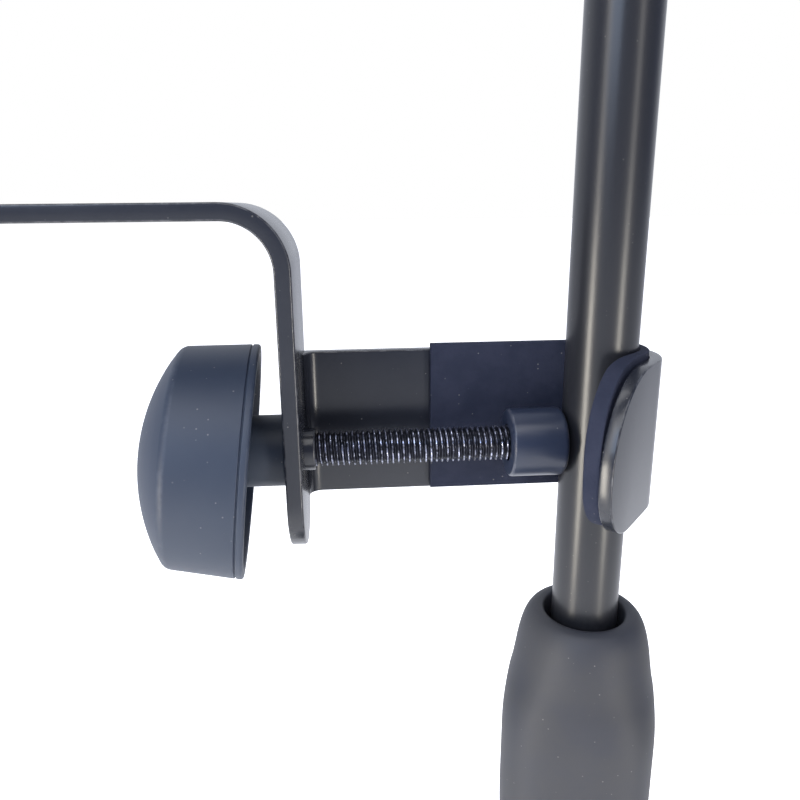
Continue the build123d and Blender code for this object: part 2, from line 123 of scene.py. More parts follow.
def baked(piece, sharp_angle):
    """Turns a piece's modifiers into a plain mesh and removes them."""
    bpy.context.view_layer.update()
    graph = bpy.context.evaluated_depsgraph_get()
    mesh = bpy.data.meshes.new_from_object(piece.evaluated_get(graph))
    piece.modifiers.clear()
    piece.data = mesh
    settle_normals(mesh, sharp_angle)
    return piece


def rounded(corners, steps):
    """A flat outline from (a, b, radius) corners, each eased by its radius.

    The rim value of a point is 1 on the eased parts and 0 elsewhere.
    """
    outline = []
    last = len(corners) - 1
    for i, (a, b, radius) in enumerate(corners):
        here = Vector((a, b))
        if radius <= 0 or i in (0, last):
            outline.append((a, b, 0.0))
            continue
        back = (Vector(corners[i - 1][:2]) - here).normalized()
        ahead = (Vector(corners[i + 1][:2]) - here).normalized()
        half = math.acos(max(-1.0, min(1.0, back.dot(ahead)))) / 2
        reach = radius / math.tan(half)
        middle = here + (back + ahead).normalized() * (radius / math.sin(half))
        first = here + back * reach - middle
        turn = first.angle_signed(here + ahead * reach - middle)
        for k in range(steps + 1):
            spin = Matrix.Rotation(-turn * k / steps, 2)
            point = middle + spin @ first
            outline.append((point.x, point.y, 0.0 if k in (0, steps) else 1.0))
    return outline


def lathe(
    name, profile, material, axis="Z", centre=(0, 0, 0), steps=128, shape=None, sharp=SMOOTH_ANGLE,
):
    """Turns a profile of (along, radius, rim) about an axis.

    A radius of 0 closes on a pole. shape(angle, along, radius) may swell the radius.
    """
    points, faces, rims, rings = [], [], [], []
    for along, radius, rim in profile:
        ring = []
        for k in range(1 if radius < POLE_R else steps):
            angle = 2 * math.pi * k / steps
            size = shape(angle, along, radius) if shape else radius
            side, rise = size * math.cos(angle), size * math.sin(angle)
            spot = (along, side, rise) if axis == "X" else (side, rise, along)
            ring.append(len(points))
            points.append(Vector(spot) + Vector(centre))
            rims.append(rim)
        rings.append(ring)
    pairs = list(zip(rings, rings[1:]))
    if profile[0][1] >= POLE_R:
        pairs.append((rings[-1], rings[0]))
    for near, far in pairs:
        for k in range(steps):
            after = (k + 1) % steps
            if len(near) == 1:
                faces.append((near[0], far[after], far[k]))
            elif len(far) == 1:
                faces.append((near[k], near[after], far[0]))
            else:
                faces.append((near[k], near[after], far[after], far[k]))
    return mesh_piece(name, points, faces, material, sharp, rims)


def leg_length(leg):
    """The length of one straight run or turn of a route; a turn is given in degrees."""
    kind, size, turn = leg
    return size if kind == "run" else size * math.radians(turn)


def route_length(route):
    """The whole length of a route."""
    return sum(leg_length(leg) for leg in route["legs"])


def follow(route, along, out):
    """The point at a length along a flat route, moved out to its left. Turns go clockwise."""
    x, y, heading = route["start"]
    legs = route["legs"]
    for number, leg in enumerate(legs):
        kind, size, _ = leg
        here = along if number == len(legs) - 1 else min(along, leg_length(leg))
        if kind == "run":
            x += here * math.cos(heading)
            y += here * math.sin(heading)
        else:
            centre_x = x + size * math.sin(heading)
            centre_y = y - size * math.cos(heading)
            heading -= here / size
            x = centre_x - size * math.sin(heading)
            y = centre_y + size * math.cos(heading)
        along -= here
        if along <= 0:
            break
    return x - out * math.sin(heading), y + out * math.cos(heading)


def stations(route, corner_radii):
    """Lengths along a route where a strip needs a row of points."""
    run_rows, turn_step, corner_rows, least_gap = 12, 3, 16, 0.05 * MM
    total = route_length(route)
    marks = {0.0, total}
    start = 0.0
    for leg in route["legs"]:
        kind, _, turn = leg
        long = leg_length(leg)
        steps = run_rows if kind == "run" else max(4, int(turn / turn_step))
        marks.update(start + long * k / steps for k in range(steps + 1))
        start += long
    for radius, at_end in corner_radii:
        for k in range(corner_rows + 1):
            reach = radius * (1 - math.sin(math.pi / 2 * k / corner_rows))
            marks.add(total - reach if at_end else reach)
    kept = []
    for mark in sorted(marks):
        if not kept or mark - kept[-1] > least_gap:
            kept.append(mark)
    kept[-1] = total
    return kept


def eased_edge(along, total, start_r, end_r):
    """How far a strip's long edge is drawn in at a length along it, by its rounded corners."""
    drawn = 0.0
    if start_r and along < start_r:
        drawn = start_r - math.sqrt(max(0.0, start_r**2 - (start_r - along) ** 2))
    if end_r and along > total - end_r:
        drawn = end_r - math.sqrt(max(0.0, end_r**2 - (along - total + end_r) ** 2))
    return drawn


def inset(outline, distance):
    """A closed outline moved inwards."""
    moved = []
    count = len(outline)
    for i, point in enumerate(outline):
        before = Vector(outline[i - 1])
        here = Vector(point)
        after = Vector(outline[(i + 1) % count])
        arrive = (here - before).normalized()
        leave = (after - here).normalized()
        normal_a = Vector((-arrive.y, arrive.x))
        normal_b = Vector((-leave.y, leave.x))
        scale = distance / max(0.3, 1 + normal_a.dot(normal_b))
        moved.append(here + (normal_a + normal_b) * scale)
    return moved


def strip(
    name, route, low, high, thick, place, material, corners, ease, bulge=None, start_marks=0,
):
    """A flat strip bent along a route, with rounded corners and eased edges.

    corners are the radii at the start's top and foot and the end's top and foot. place(u, v, h)
    puts the flat route in the row frame, and bulge(along, h, out) may shift a point outwards.
    start_marks asks for more rows over that length at the start.
    """
    start_top, start_foot, end_top, end_foot = corners
    total = route_length(route)
    radii = [(start_top, False), (start_foot, False), (end_top, True), (end_foot, True)]
    marks = stations(route, [r for r in radii + [(start_marks, False)] if r[0]])
    foot = [(s, low + eased_edge(s, total, start_foot, end_foot)) for s in marks]
    top = [(s, high - eased_edge(s, total, start_top, end_top)) for s in marks]
    outline = foot + top[::-1]
    ease_steps, side_rim = 4, 0.3
    loops = []
    for k in range(ease_steps + 1):
        angle = math.pi / 2 * k / ease_steps
        rim = 0.0 if k == 0 else 1.0 if k < ease_steps else side_rim
        loops.append((ease * (1 - math.sin(angle)), ease * (1 - math.cos(angle)), rim))
    loops += [(draw, thick - out, rim) for draw, out, rim in reversed(loops)]
    points, rims = [], []
    for draw, out, rim in loops:
        for along, height in inset(outline, draw):
            shift = bulge(along, height, out) if bulge else 0.0
            u, v = follow(route, along, out + shift)
            points.append(place(u, v, height))
            rims.append(rim)
    count = len(outline)
    faces = []
    for ring in range(len(loops) - 1):
        near, far = ring * count, (ring + 1) * count
        for k in range(count):
            after = (k + 1) % count
            faces.append((near + k, near + after, far + after, far + k))
    last = (len(loops) - 1) * count
    for k in range(len(marks) - 1):
        across = (k, k + 1, count - 2 - k, count - 1 - k)
        faces.append(across[::-1])
        faces.append(tuple(last + i for i in across))
    return mesh_piece(name, points, faces, material, STRIP_ANGLE, rims)


def cut_hole(piece, centre, axis_turn, radius):
    """Drills a round hole through a piece."""
    mesh = bpy.data.meshes.new("drill")
    work = bmesh.new()
    bmesh.ops.create_cone(
        work, cap_ends=True, segments=64, radius1=radius, radius2=radius, depth=DRILL_DEPTH,
    )
    bmesh.ops.rotate(work, verts=work.verts, matrix=axis_turn)
    bmesh.ops.translate(work, verts=work.verts, vec=centre)
    work.to_mesh(mesh)
    work.free()
    drill = collect(bpy.data.objects.new("drill", mesh))
    cut = piece.modifiers.new("hole", "BOOLEAN")
    cut.operation = "DIFFERENCE"
    cut.solver = "EXACT"
    cut.object = drill
    baked(piece, STRIP_ANGLE)
    bpy.data.objects.remove(drill)


# ------------------------------------------------------------------ node helpers
def maths(tree, operation, *values, clamp=False):
    """One arithmetic node fed by numbers or sockets."""
    node = tree.nodes.new("ShaderNodeMath")
    node.operation = operation
    node.use_clamp = clamp
    for socket, value in zip(node.inputs, values):
        if isinstance(value, (int, float)):
            socket.default_value = value
        else:
            tree.links.new(value, socket)
    return node.outputs[0]


def noise(tree, vector, scale, detail, rough):
    """A noise texture on a vector; scale is in waves per metre and may be a socket."""
    node = tree.nodes.new("ShaderNodeTexNoise")
    node.inputs["Detail"].default_value = detail
    node.inputs["Roughness"].default_value = rough
    tree.links.new(vector, node.inputs["Vector"])
    if isinstance(scale, (int, float)):
        node.inputs["Scale"].default_value = scale
    else:
        tree.links.new(scale, node.inputs["Scale"])
    return node.outputs["Fac"]


def span(tree, value, from_low, from_high, to_low=0.0, to_high=1.0):
    """Maps a value from one range to another, held at both ends."""
    node = tree.nodes.new("ShaderNodeMapRange")
    node.interpolation_type = "SMOOTHSTEP"
    node.inputs["From Min"].default_value = from_low
    node.inputs["From Max"].default_value = from_high
    node.inputs["To Min"].default_value = to_low
    node.inputs["To Max"].default_value = to_high
    tree.links.new(value, node.inputs["Value"])
    return node.outputs["Result"]


def blend_colour(tree, factor, first, second):
    """Mixes two colours, each a socket or an RGB tuple."""
    node = tree.nodes.new("ShaderNodeMix")
    node.data_type = "RGBA"
    fed = ((node.inputs[0], factor), (node.inputs[6], first), (node.inputs[7], second))
    for socket, value in fed:
        if isinstance(value, (int, float)):
            socket.default_value = value
        elif isinstance(value, tuple):
            socket.default_value = (*value, 1.0)
        else:
            tree.links.new(value, socket)
    return node.outputs[2]


def group(name, inputs, outputs):
    """An empty shader node group with named sockets."""
    tree = bpy.data.node_groups.new(name, "ShaderNodeTree")
    kinds = {"vector": "NodeSocketVector", "colour": "NodeSocketColor", "value": "NodeSocketFloat"}
    for label, kind, value in inputs:
        socket = tree.interface.new_socket(label, in_out="INPUT", socket_type=kinds[kind])
        if value is not None:
            socket.default_value = (*value, 1.0) if kind == "colour" else value
    for label, kind in outputs:
        tree.interface.new_socket(label, in_out="OUTPUT", socket_type=kinds[kind])
    return tree, tree.nodes.new("NodeGroupInput").outputs, tree.nodes.new("NodeGroupOutput").inputs


# ------------------------------------------------------------------ shared effects
def grain_group():
    """Fine surface grain, as a height for bump: small grain laid over slower waves."""
    tree, given, out = group(
        "fine_grain",
        [
            ("Vector", "vector", None), ("Grain Scale", "value", 2500.0),
            ("Wave Scale", "value", 300.0), ("Wave Share", "value", 0.3),
        ],
        [("Height", "value")],
    )
    fine = noise(tree, given["Vector"], given["Grain Scale"], 3.0, 0.6)
    wave = noise(tree, given["Vector"], given["Wave Scale"], 2.0, 0.5)
    share = maths(tree, "MULTIPLY", wave, given["Wave Share"])
    rest = maths(tree, "SUBTRACT", 1.0, given["Wave Share"])
    height = maths(tree, "ADD", maths(tree, "MULTIPLY", fine, rest), share)
    tree.links.new(height, out["Height"])
    return tree


def tone_group():
    """Uneven tone over a part: slow cloudy change in colour and sheen."""
    tree, given, out = group(
        "uneven_tone",
        [
            ("Vector", "vector", None), ("Color", "colour", (0.1, 0.1, 0.1)),
            ("Second Color", "colour", (0.2, 0.2, 0.2)), ("Cloud Scale", "value", 40.0),
            ("Amount", "value", 0.3), ("Roughness", "value", 0.4),
            ("Roughness Swing", "value", 0.08),
        ],
        [("Color", "colour"), ("Roughness", "value")],
    )
    cloud = noise(tree, given["Vector"], given["Cloud Scale"], 5.0, 0.6)
    soft = span(tree, cloud, 0.35, 0.65)
    part = maths(tree, "MULTIPLY", soft, given["Amount"])
    tree.links.new(blend_colour(tree, part, given["Color"], given["Second Color"]), out["Color"])
    swing = maths(tree, "MULTIPLY", maths(tree, "SUBTRACT", cloud, 0.5), given["Roughness Swing"])
    tree.links.new(maths(tree, "ADD", given["Roughness"], swing), out["Roughness"])
    return tree


def wear_and_highlight_group():
    """Edges rubbed by handling, and a painted highlight on the thread's crests: reads the rim value
    stored on the metal's edges.
    """
    tree, given, out = group(
        "rubbed_and_lit_edges",
        [
            ("Vector", "vector", None), ("Color", "colour", (0.1, 0.1, 0.1)),
            ("Rubbed Color", "colour", (0.5, 0.5, 0.5)), ("Amount", "value", 0.4),
            ("Patch Scale", "value", 350.0), ("Roughness", "value", 0.4),
            ("Rubbed Roughness", "value", 0.3),
        ],
        [("Color", "colour"), ("Roughness", "value")],
    )
    rim = tree.nodes.new("ShaderNodeAttribute")
    rim.attribute_name = "rim"
    cloud = noise(tree, given["Vector"], given["Patch Scale"], 5.0, 0.65)
    patch = span(tree, cloud, 0.42, 0.62)
    edge = span(tree, rim.outputs["Fac"], 0.5, 1.0)
    rubbed = maths(tree, "MULTIPLY", edge, patch)
    mask = maths(tree, "MULTIPLY", rubbed, given["Amount"], clamp=True)
    tree.links.new(blend_colour(tree, mask, given["Color"], given["Rubbed Color"]), out["Color"])
    change = maths(tree, "SUBTRACT", given["Rubbed Roughness"], given["Roughness"])
    drop = maths(tree, "MULTIPLY", change, mask)
    tree.links.new(maths(tree, "ADD", given["Roughness"], drop), out["Roughness"])
    return tree


def dust_group():
    """A thin film of dust, thicker on faces that look up, and small pale specks."""
    film_share, speck_share, dust_lift = 0.15, 8.0, 0.35
    tree, given, out = group(
        "dust_film",
        [
            ("Vector", "vector", None), ("Color", "colour", (0.1, 0.1, 0.1)),
            ("Dust Color", "colour", (0.45, 0.43, 0.4)), ("Amount", "value", 0.1),
            ("Speck Scale", "value", 900.0), ("Roughness", "value", 0.4),
        ],
        [("Color", "colour"), ("Roughness", "value")],
    )
    surface = tree.nodes.new("ShaderNodeNewGeometry")
    parts = tree.nodes.new("ShaderNodeSeparateXYZ")
    tree.links.new(surface.outputs["Normal"], parts.inputs[0])
    up = span(tree, parts.outputs["Z"], -0.2, 0.9, 0.35, 1.0)
    film = span(tree, noise(tree, given["Vector"], 60.0, 6.0, 0.7), 0.35, 0.7)
    specks = tree.nodes.new("ShaderNodeTexVoronoi")
    specks.feature = "F1"
    tree.links.new(given["Vector"], specks.inputs["Vector"])
    tree.links.new(given["Speck Scale"], specks.inputs["Scale"])
    size = tree.nodes.new("ShaderNodeSeparateXYZ")
    tree.links.new(specks.outputs["Color"], size.inputs[0])
    rare = span(tree, size.outputs["X"], 0.90, 0.97)
    round_dot = span(tree, specks.outputs["Distance"], 0.10, 0.2, 1.0, 0.0)
    dot = maths(tree, "MULTIPLY", round_dot, rare)
    thin = maths(tree, "MULTIPLY", given["Amount"], film_share)
    layer = maths(tree, "MULTIPLY", maths(tree, "MULTIPLY", film, up), thin)
    dots = maths(tree, "MULTIPLY", maths(tree, "MULTIPLY", dot, given["Amount"]), speck_share)
    mask = maths(tree, "ADD", layer, dots, clamp=True)
    tree.links.new(blend_colour(tree, mask, given["Color"], given["Dust Color"]), out["Color"])
    lift = maths(tree, "MULTIPLY", mask, dust_lift)
    tree.links.new(maths(tree, "ADD", given["Roughness"], lift, clamp=True), out["Roughness"])
    return tree


EFFECTS = {
    "grain": grain_group(),
    "tone": tone_group(),
    "wear_and_highlight": wear_and_highlight_group(),
    "dust": dust_group(),
}


def use_effect(tree, effect, vector, **settings):
    """Places a shared effect in a material with its own values."""
    node = tree.nodes.new("ShaderNodeGroup")
    node.node_tree = EFFECTS[effect]
    tree.links.new(vector, node.inputs["Vector"])
    for label, value in settings.items():
        socket = node.inputs[label.replace("_", " ")]
        if isinstance(value, (int, float)):
            socket.default_value = value
        elif isinstance(value, tuple):
            socket.default_value = (*value, 1.0)
        else:
            tree.links.new(value, socket)
    return node.outputs


def surface_finish(
    name,
    colour,
    second,
    roughness,
    metallic=0.0,
    specular=0.5,
    tone=0.5,
    cloud=40.0,
    swing=0.08,
    grain=2500.0,
    wave=300.0,
    share=0.3,
    bump=0.01,
    rubbed=None,
    wear_and_highlight=0.0,
    patch=350.0,
    dust=0.02,
    stretch=(1, 1, 1),
):
    """A procedural material built from the shared effects.

    Scales are in waves per metre and bump, the grain's depth, is in millimetres. tone is how much
    of the second colour shows, swing how far the sheen changes, and stretch scales the pattern.
    """
    material = bpy.data.materials.new(name)
    material.use_nodes = True
    tree = material.node_tree
    shader = tree.nodes["Principled BSDF"]
    place = tree.nodes.new("ShaderNodeTexCoord").outputs["Object"]
    mapping = tree.nodes.new("ShaderNodeMapping")
    mapping.inputs["Scale"].default_value = stretch
    tree.links.new(place, mapping.inputs["Vector"])
    vector = mapping.outputs["Vector"]
    toned = use_effect(
        tree, "tone", vector, Color=colour, Second_Color=second, Cloud_Scale=cloud, Amount=tone,
        Roughness=roughness, Roughness_Swing=swing,
    )
    worn_and_lit = use_effect(
        tree, "wear_and_highlight", place, Color=toned["Color"], Rubbed_Color=rubbed or second, Amount=wear_and_highlight,
        Patch_Scale=patch, Roughness=toned["Roughness"],
        Rubbed_Roughness=max(0.15, roughness - 0.1),
    )
    dusty = use_effect(
        tree, "dust", place, Color=worn_and_lit["Color"], Amount=dust, Roughness=worn_and_lit["Roughness"],
    )
    grained = use_effect(
        tree, "grain", vector, Grain_Scale=grain, Wave_Scale=wave, Wave_Share=share,
    )
    relief = tree.nodes.new("ShaderNodeBump")
    relief.inputs["Strength"].default_value = 1.0
    relief.inputs["Distance"].default_value = bump * MM
    tree.links.new(grained["Height"], relief.inputs["Height"])
    tree.links.new(relief.outputs["Normal"], shader.inputs["Normal"])
    tree.links.new(dusty["Color"], shader.inputs["Base Color"])
    tree.links.new(dusty["Roughness"], shader.inputs["Roughness"])
    shader.inputs["Metallic"].default_value = metallic
    shader.inputs["Specular IOR Level"].default_value = specular
    return material


# ------------------------------------------------------------------ finishes
# the two colours that drift into each other, the roughness, and what differs from the usual values
RECIPES = {
    "satin_tube": (
        (0.014, 0.015, 0.019), (0.020, 0.020, 0.022), 0.28,
        dict(cloud=25.0, swing=0.03, grain=3500.0, bump=0.004, wear_and_highlight=0.2, rubbed=(0.2, 0.2, 0.2),
             dust=0.01, stretch=(1, 1, 0.15)),
    ),
    "bracket_paint": (
        (0.015, 0.017, 0.024), (0.020, 0.022, 0.029), 0.24,
        dict(cloud=70.0, swing=0.03, grain=1800.0, wave=500.0, bump=0.012, wear_and_highlight=0.35,
             rubbed=(0.14, 0.145, 0.16)),
    ),
    "knob_plastic": (
        (0.020, 0.030, 0.054), (0.027, 0.038, 0.062), 0.5,
        dict(specular=0.45, cloud=45.0, swing=0.04, grain=3200.0, wave=400.0, bump=0.014,
             wear_and_highlight=0.08, rubbed=(0.16, 0.18, 0.22), dust=0.03),
    ),
    "cap_plastic": (
        (0.018, 0.025, 0.048), (0.024, 0.031, 0.055), 0.32,
        dict(tone=0.4, cloud=90.0, grain=1500.0, wear_and_highlight=0.3, rubbed=(0.12, 0.12, 0.14), dust=0.03),
    ),
    "lining_rubber": (
        (0.019, 0.023, 0.042), (0.026, 0.030, 0.052), 0.88,
        dict(specular=0.2, tone=0.7, cloud=180.0, swing=0.1, grain=1500.0, wave=500.0, share=0.45,
             bump=0.14, dust=0.03),
    ),
    "grip_soft": (
        (0.036, 0.038, 0.047), (0.042, 0.042, 0.045), 0.56,
        dict(specular=0.35, tone=0.6, cloud=60.0, swing=0.03, grain=2600.0, bump=0.02, dust=0.03),
    ),
    # the thread's rubbed colour is a painted highlight: bright bluish steel laid in patches on the
    # crests, as rubbed steel and as the light the crests catch
    "thread_steel": (
        (0.035, 0.038, 0.05), (0.06, 0.062, 0.08), 0.34,
        dict(metallic=0.9, tone=0.7, cloud=260.0, rubbed=(0.62, 0.65, 0.82), wear_and_highlight=1.0, patch=700.0),
    ),
    "zinc_steel": (
        (0.50, 0.51, 0.53), (0.40, 0.41, 0.43), 0.34,
        dict(metallic=1.0, tone=0.6, cloud=150.0, grain=2600.0, dust=0.06),
    ),
    "brass": ((0.60, 0.43, 0.18), (0.45, 0.32, 0.14), 0.33, dict(metallic=1.0, cloud=200.0)),
    "nylon": (
        (0.50, 0.50, 0.47), (0.42, 0.42, 0.40), 0.5,
        dict(tone=0.4, cloud=120.0, grain=2200.0, bump=0.02),
    ),
    "clutch_black": (
        (0.022, 0.023, 0.027), (0.035, 0.036, 0.04), 0.45,
        dict(cloud=90.0, grain=1800.0, bump=0.02, wear_and_highlight=0.2, rubbed=(0.2, 0.2, 0.21), dust=0.06),
    ),
    "cast_iron_paint": (
        (0.026, 0.027, 0.030), (0.040, 0.040, 0.042), 0.48,
        dict(tone=0.6, cloud=18.0, grain=700.0, wave=120.0, share=0.5, bump=0.10, wear_and_highlight=0.5,
             rubbed=(0.15, 0.15, 0.15), dust=0.16),
    ),
    "foot_rubber": (
        (0.020, 0.020, 0.021), (0.032, 0.032, 0.032), 0.85,
        dict(specular=0.3, cloud=90.0, grain=1400.0, bump=0.05, dust=0.18),
    ),
    "desk_powder": (
        (0.024, 0.024, 0.026), (0.034, 0.034, 0.036), 0.55,
        dict(cloud=12.0, grain=1300.0, wave=400.0, share=0.35, bump=0.09, wear_and_highlight=0.2,
             rubbed=(0.1, 0.1, 0.1), dust=0.03),
    ),
    "tilt_plastic": (
        (0.022, 0.022, 0.024), (0.034, 0.034, 0.036), 0.5,
        dict(cloud=80.0, grain=1600.0, bump=0.04, wear_and_highlight=0.4, rubbed=(0.12, 0.12, 0.12), dust=0.03),
    ),
}
FINISH = {
    name: surface_finish(name, colour, second, roughness, **rest)
    for name, (colour, second, roughness, rest) in RECIPES.items()
}

# the CAD nodes that keep their own shape, by finish
KEPT_NODES = {
    "cast_iron_paint": ("base_plate",),
    "foot_rubber": ("base_feet",),
    "zinc_steel": (
        "base_nut", "base_washer", "tube_stud", "bush_pin", "cap_ring", "head_pin", "tilt_bolt",
        "tilt_washer",
    ),
    "nylon": ("guide_bush", "tilt_discs"),
    "clutch_black": ("clutch_body", "clutch_core", "clutch_collet", "tilt_head"),
    "brass": ("knob_insert", "tilt_knob_insert"),
    "tilt_plastic": ("tilt_knob",),
    "desk_powder": ("desk_plate", "desk_shelf", "desk_bracket"),
}
for finish_name, nodes in KEPT_NODES.items():
    for node in nodes:
        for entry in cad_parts[node].material_slots:
            entry.material = FINISH[finish_name]


def stands_for(piece, node, body):
    """Hands a new piece to its body, in place of its CAD node."""
    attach(piece, body)
    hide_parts(node)


# ------------------------------------------------------------------ tubes
def tube_skin(name, node, body, wall, seam, ease):
    """A plain tube with eased ends, as long and wide as its node. Its foot is closed at seam."""
    low, high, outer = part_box(node)[0].z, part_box(node)[1].z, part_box(node)[1].x
    profile = rounded(
        [
            (low, outer - seam, 0),
            (low, outer, ease),
            (high, outer, ease),
            (high, outer - wall, ease),
            (low, outer - wall, ease),
            (low, outer - seam - 0.01 * MM, 0),
        ],
        3,
    )
    skin = lathe(name, profile, FINISH["satin_tube"], steps=160)
    stands_for(skin, node, body)


tube_skin("upper_tube_skin", "upper_tube", "mast", UPPER_WALL, 0.6 * MM, 0.3 * MM)
tube_skin("lower_tube_skin", "lower_tube", "base", LOWER_WALL, 0.7 * MM, 0.4 * MM)

# ------------------------------------------------------------------ clamp bar
arm_inner_z = bar_box[1].z - BAR_THICK
bar_half = bar_box[1].y
plate_right = bar_box[1].x
bar_route = {
    "start": (bar_box[0].x, arm_inner_z, 0.0),
    "legs": [
        ("run", plate_right - BAR_THICK - BAR_BEND_IN - bar_box[0].x, 0),
        ("turn", BAR_BEND_IN, 90.0),
        ("run", arm_inner_z - BAR_BEND_IN - bar_box[0].z, 0),
    ],
}
end_r = bar_half - 0.2 * MM
clamp_bar = strip(
    "clamp_bar_steel", bar_route, -bar_half, bar_half, BAR_THICK, lambda u, v, h: (u, h, v),
    FINISH["bracket_paint"], corners=(end_r, end_r, end_r, end_r), ease=0.45 * MM,
)
arm_hole = Vector((bar_box[0].x + ARM_HOLE_IN, 0, bar_box[1].z))
plate_hole = Vector((plate_right, 0, screw_z))
cut_hole(clamp_bar, arm_hole, Matrix.Identity(3), ARM_HOLE_R)
cut_hole(clamp_bar, plate_hole, Matrix.Rotation(math.pi / 2, 3, "Y"), PLATE_HOLE_R)
stands_for(clamp_bar, "clamp_bar", "clamp")

# ------------------------------------------------------------------ clamp hook and lining
hook_in_r = tube_r + TURN_FIT + LINING_THICK + 0.02 * MM
hook_left = hook_box[0].x
hook_route = {
    "start": (hook_left, hook_in_r, 0.0),
    "legs": [("run", -hook_left, 0), ("turn", hook_in_r, LIP_TURN), ("run", LIP_LONG, 0)],
}


def weld(along, height, out):
    """The painted weld that runs out from the plate onto the hook's inner face."""
    if along >= WELD_R:
        return 0.0
    rise = WELD_R - math.sqrt(max(0.0, WELD_R**2 - (WELD_R - along) ** 2))
    return -rise * (1 - out / HOOK_THICK)


clamp_hook = strip(
    "clamp_hook_steel", hook_route, hook_box[0].z, hook_box[1].z, HOOK_THICK,
    lambda u, v, h: (u, v, h), FINISH["bracket_paint"], corners=(0, 0, LIP_TOP_R, LIP_FOOT_R),
    ease=0.4 * MM, bulge=weld, start_marks=WELD_R,
)
stands_for(clamp_hook, "clamp_hook", "clamp")

lining_start = lining_box[0].x
lining_r = tube_r + TURN_FIT
lining_short = 0.5 * MM
lining_route = {
    "start": (lining_start, lining_r, 0.0),
    "legs": [
        ("run", -lining_start, 0),
        ("turn", lining_r, LIP_TURN),
        ("run", LIP_LONG - lining_short, 0),
    ],
}
lip_begins = route_length(lining_route) - LIP_LONG


def smooth_step(low, high, value):
    """0 below low, 1 above high, eased between."""
    part = max(0.0, min(1.0, (value - low) / (high - low)))
    return part * part * (3 - 2 * part)


def peel(along, height, out):
    """The lining swells along the lip, and lets go of the steel a little at the lip's top."""
    swell, gap = 1.3 * MM, 0.8 * MM
    far = smooth_step(lip_begins + 1 * MM, lip_begins + 14 * MM, along)
    high = smooth_step(screw_z - 2 * MM, lining_box[1].z, height)
    return -gap * far * high - swell * far * (1 - out / LINING_THICK)


hook_lining = strip(
    "hook_lining_pad", lining_route, lining_box[0].z, lining_box[1].z, LINING_THICK,
    lambda u, v, h: (u, v, h), FINISH["lining_rubber"], corners=(0, 0, LIP_TOP_R, LIP_FOOT_R),
    ease=0.35 * MM, bulge=peel,
)
stands_for(hook_lining, "hook_lining", "clamp")

# ------------------------------------------------------------------ bush, rod, knob and cap
on_screw = (0, 0, screw_z)
bush_left, bush_right, bush_r = bush_box[0].x, bush_box[1].x, bush_box[1].y
bush_bore = 4.1 * MM
bush_profile = rounded(
    [
        (bush_left, bush_r - 0.3 * MM, 0),
        (bush_left, bush_r, 0.1 * MM),
        (bush_right, bush_r, 0.45 * MM),
        (bush_right, bush_bore, 0.3 * MM),
        (bush_left, bush_bore, 0.1 * MM),
        (bush_left, bush_r - 0.31 * MM, 0),
    ],
    4,
)
screw_bush = lathe("screw_bush_ring", bush_profile, FINISH["bracket_paint"], "X", on_screw, 96)
stands_for(screw_bush, "screw_bush", "clamp")

# the knob's shell: dome to the left, rim open to the right
SHELL = 2.3 * MM
RIM_R = 26.5 * MM
TOP_R = 24.8 * MM
rim_x, wall_x, dome_x = -80.8 * MM, -96.6 * MM, -105.2 * MM
groove_x = rim_x - 1.5 * MM
dome_high = wall_x - dome_x
dome_ball_r = ((TOP_R + 1 * MM) ** 2 + dome_high**2) / (2 * dome_high)
# how the shell sits crooked on its hub: turned about lean_spot, then moved out and down
LEAN_UP = math.radians(7.0)
LEAN_SIDE = math.radians(4.0)
lean_spot = Vector((-85.0 * MM, 0, 0))
lean_out, lean_drop = 1.2 * MM, 1.8 * MM


def dome_at(radius):
    """Where the knob's dome is at a radius."""
    return dome_x + dome_ball_r - math.sqrt(dome_ball_r**2 - radius**2)


DOME_RINGS = 24
dome_radii = [TOP_R * k / DOME_RINGS for k in range(DOME_RINGS - 2)]
dome = [(dome_at(radius), radius, 0.0) for radius in dome_radii]
shoulder = rounded(
    [
        (dome[-1][0], dome[-1][1], 0),
        (dome_at(TOP_R) - 0.05 * MM, TOP_R - 0.1 * MM, 2.6 * MM),
        (groove_x - 0.5 * MM, RIM_R - 0.2 * MM, 0.15 * MM),
        (groove_x - 0.25 * MM, RIM_R - 0.62 * MM, 0.1 * MM),
        (groove_x, RIM_R - 0.15 * MM, 0.15 * MM),
        (rim_x, RIM_R, 0.6 * MM),
        (rim_x, RIM_R - SHELL, 0.5 * MM),
        (wall_x + SHELL, TOP_R - SHELL, 2.0 * MM),
        (wall_x + SHELL, 0.0, 0),
    ],
    6,
)
knob_profile = dome + shoulder[1:]
knob_shell = lathe(
    "screw_knob_shell", knob_profile, FINISH["knob_plastic"], "X", steps=192, sharp=MOULDED_ANGLE,
)
lean = Euler((0, LEAN_UP, LEAN_SIDE)).to_matrix().to_4x4()
drop = Matrix.Translation(Vector((lean_out, 0, screw_z - lean_drop)) + lean_spot)
knob_shell.data.transform(drop @ lean @ Matrix.Translation(-lean_spot))
stands_for(knob_shell, "screw_knob", "screw")

HUB_R = 8.1 * MM
hub_left, hub_right = -98.5 * MM, knob_box[1].x
hub_bore, hub_bore_end = 5.62 * MM, hub_right - 24 * MM
hub_outside = rounded(
    [
        (hub_left, 4.0 * MM, 0),
        (hub_left, HUB_R, 0.5 * MM),
        (hub_right, HUB_R, 0.7 * MM),
        (hub_right, hub_bore, 0.2 * MM),
        (hub_bore_end, hub_bore, 0),
    ],
    5,
)
hub_profile = [(hub_left, 0.0, 0.0)] + hub_outside + [(hub_bore_end, 0.0, 0.0)]
knob_hub = lathe(
    "screw_knob_hub", hub_profile, FINISH["knob_plastic"], "X", on_screw, sharp=MOULDED_ANGLE,
)
stands_for(knob_hub, "screw_knob", "screw")

